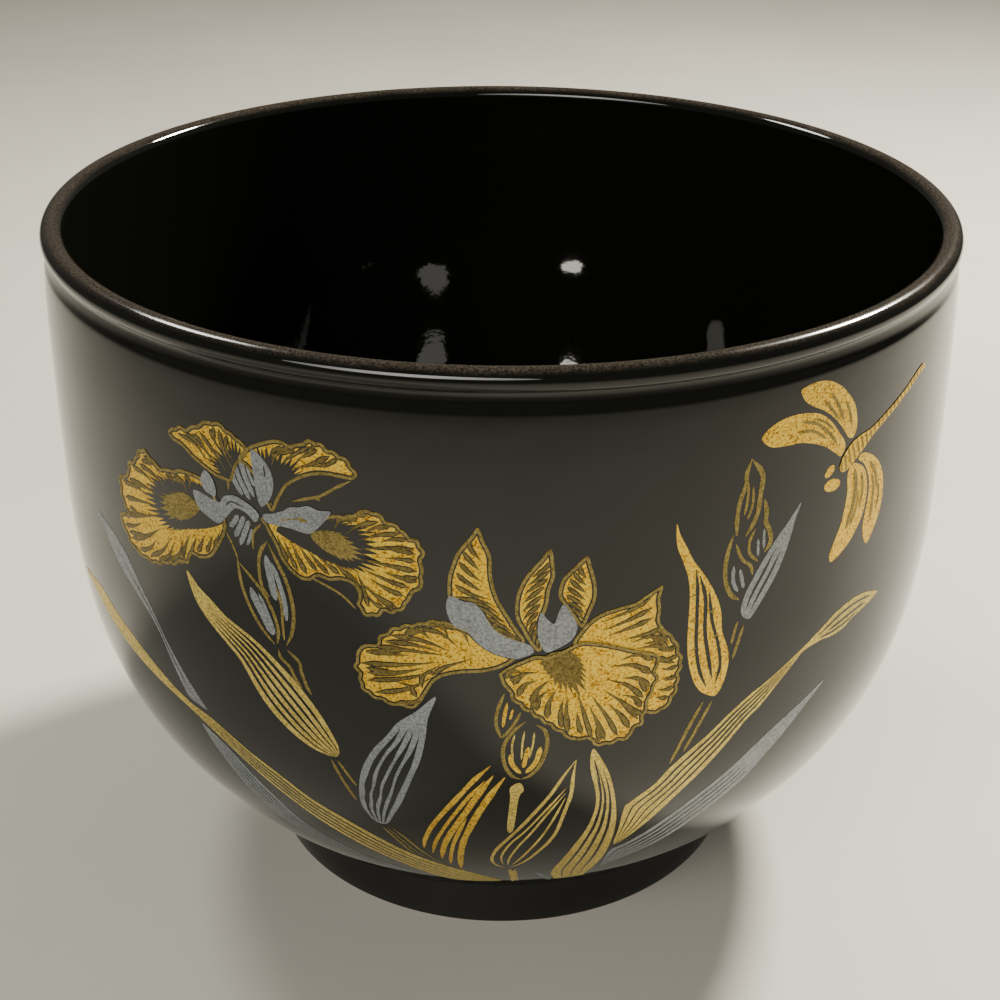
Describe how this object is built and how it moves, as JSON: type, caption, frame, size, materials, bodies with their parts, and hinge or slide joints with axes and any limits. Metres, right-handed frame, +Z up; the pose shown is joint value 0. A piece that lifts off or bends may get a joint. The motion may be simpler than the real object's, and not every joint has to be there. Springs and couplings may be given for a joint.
{
  "type": "decorated ceramic bowl",
  "caption": "Deep round ceramic bowl on a short foot ring, black high-gloss glaze with a gold and silver iris and dragonfly design on the front.",
  "frame": {"origin": "on the bowl's axis, at the surface that its foot ring rests on", "axes": "+Z up along the bowl's axis, -Y towards the decorated front, +X to the right of someone who faces the front"},
  "size_m": [0.1508, 0.1514, 0.1185],
  "materials": {
    "black_glaze": "high-gloss black glaze",
    "bright_gold": "bright sparkling fired gold",
    "antique_gold": "matt olive gold",
    "silver": "grainy blue-grey silver"
  },
  "bodies": {
    "root": {"bowl_body": "black_glaze", "left_iris_standard_left": "bright_gold", "left_iris_standard_right": "bright_gold", "left_iris_fall_left": "bright_gold", "left_iris_fall_right": "bright_gold", "left_iris_style_left": "silver", "left_iris_style_right": "silver", "left_iris_petal_small": "silver", "left_iris_petal_centre": "silver", "left_iris_petal_hatched": "silver", "left_iris_petal_lower": "silver", "left_iris_pod_left": "antique_gold", "left_iris_pod_right": "antique_gold", "left_iris_stem_upper": "antique_gold", "left_iris_stem_middle": "antique_gold", "left_iris_stem_lower": "antique_gold", "centre_iris_standard_left": "bright_gold", "centre_iris_style_left": "silver", "centre_iris_standard_middle": "bright_gold", "centre_iris_style_right": "silver", "centre_iris_standard_right": "bright_gold", "centre_iris_fall_left": "bright_gold", "centre_iris_fall_right": "bright_gold", "centre_iris_fall_front": "bright_gold", "centre_iris_pod_upper": "antique_gold", "centre_iris_pod_lower": "antique_gold", "centre_iris_stem": "antique_gold", "centre_iris_stem_foot": "antique_gold", "left_gold_leaf": "antique_gold", "far_left_silver_blade_tip": "silver", "far_left_silver_blade_base": "silver", "far_left_gold_blade": "antique_gold", "silver_bract": "silver", "striped_gold_leaf": "bright_gold", "front_leaf_left": "antique_gold", "front_leaf_right": "antique_gold", "silver_shoot": "silver", "right_gold_blade": "antique_gold", "right_silver_blade": "silver", "striped_bud": "bright_gold", "striped_bud_stem": "antique_gold", "tall_bud": "antique_gold", "tall_bud_silver_leaf": "silver", "tall_bud_stem": "antique_gold", "dragonfly_body": "bright_gold", "dragonfly_wing_upper_rear": "bright_gold", "dragonfly_wing_upper_front": "bright_gold", "dragonfly_wing_lower_front": "bright_gold", "dragonfly_wing_lower_rear": "bright_gold", "dragonfly_eye_upper": "bright_gold", "dragonfly_eye_lower": "bright_gold"}
  },
  "joints": []
}
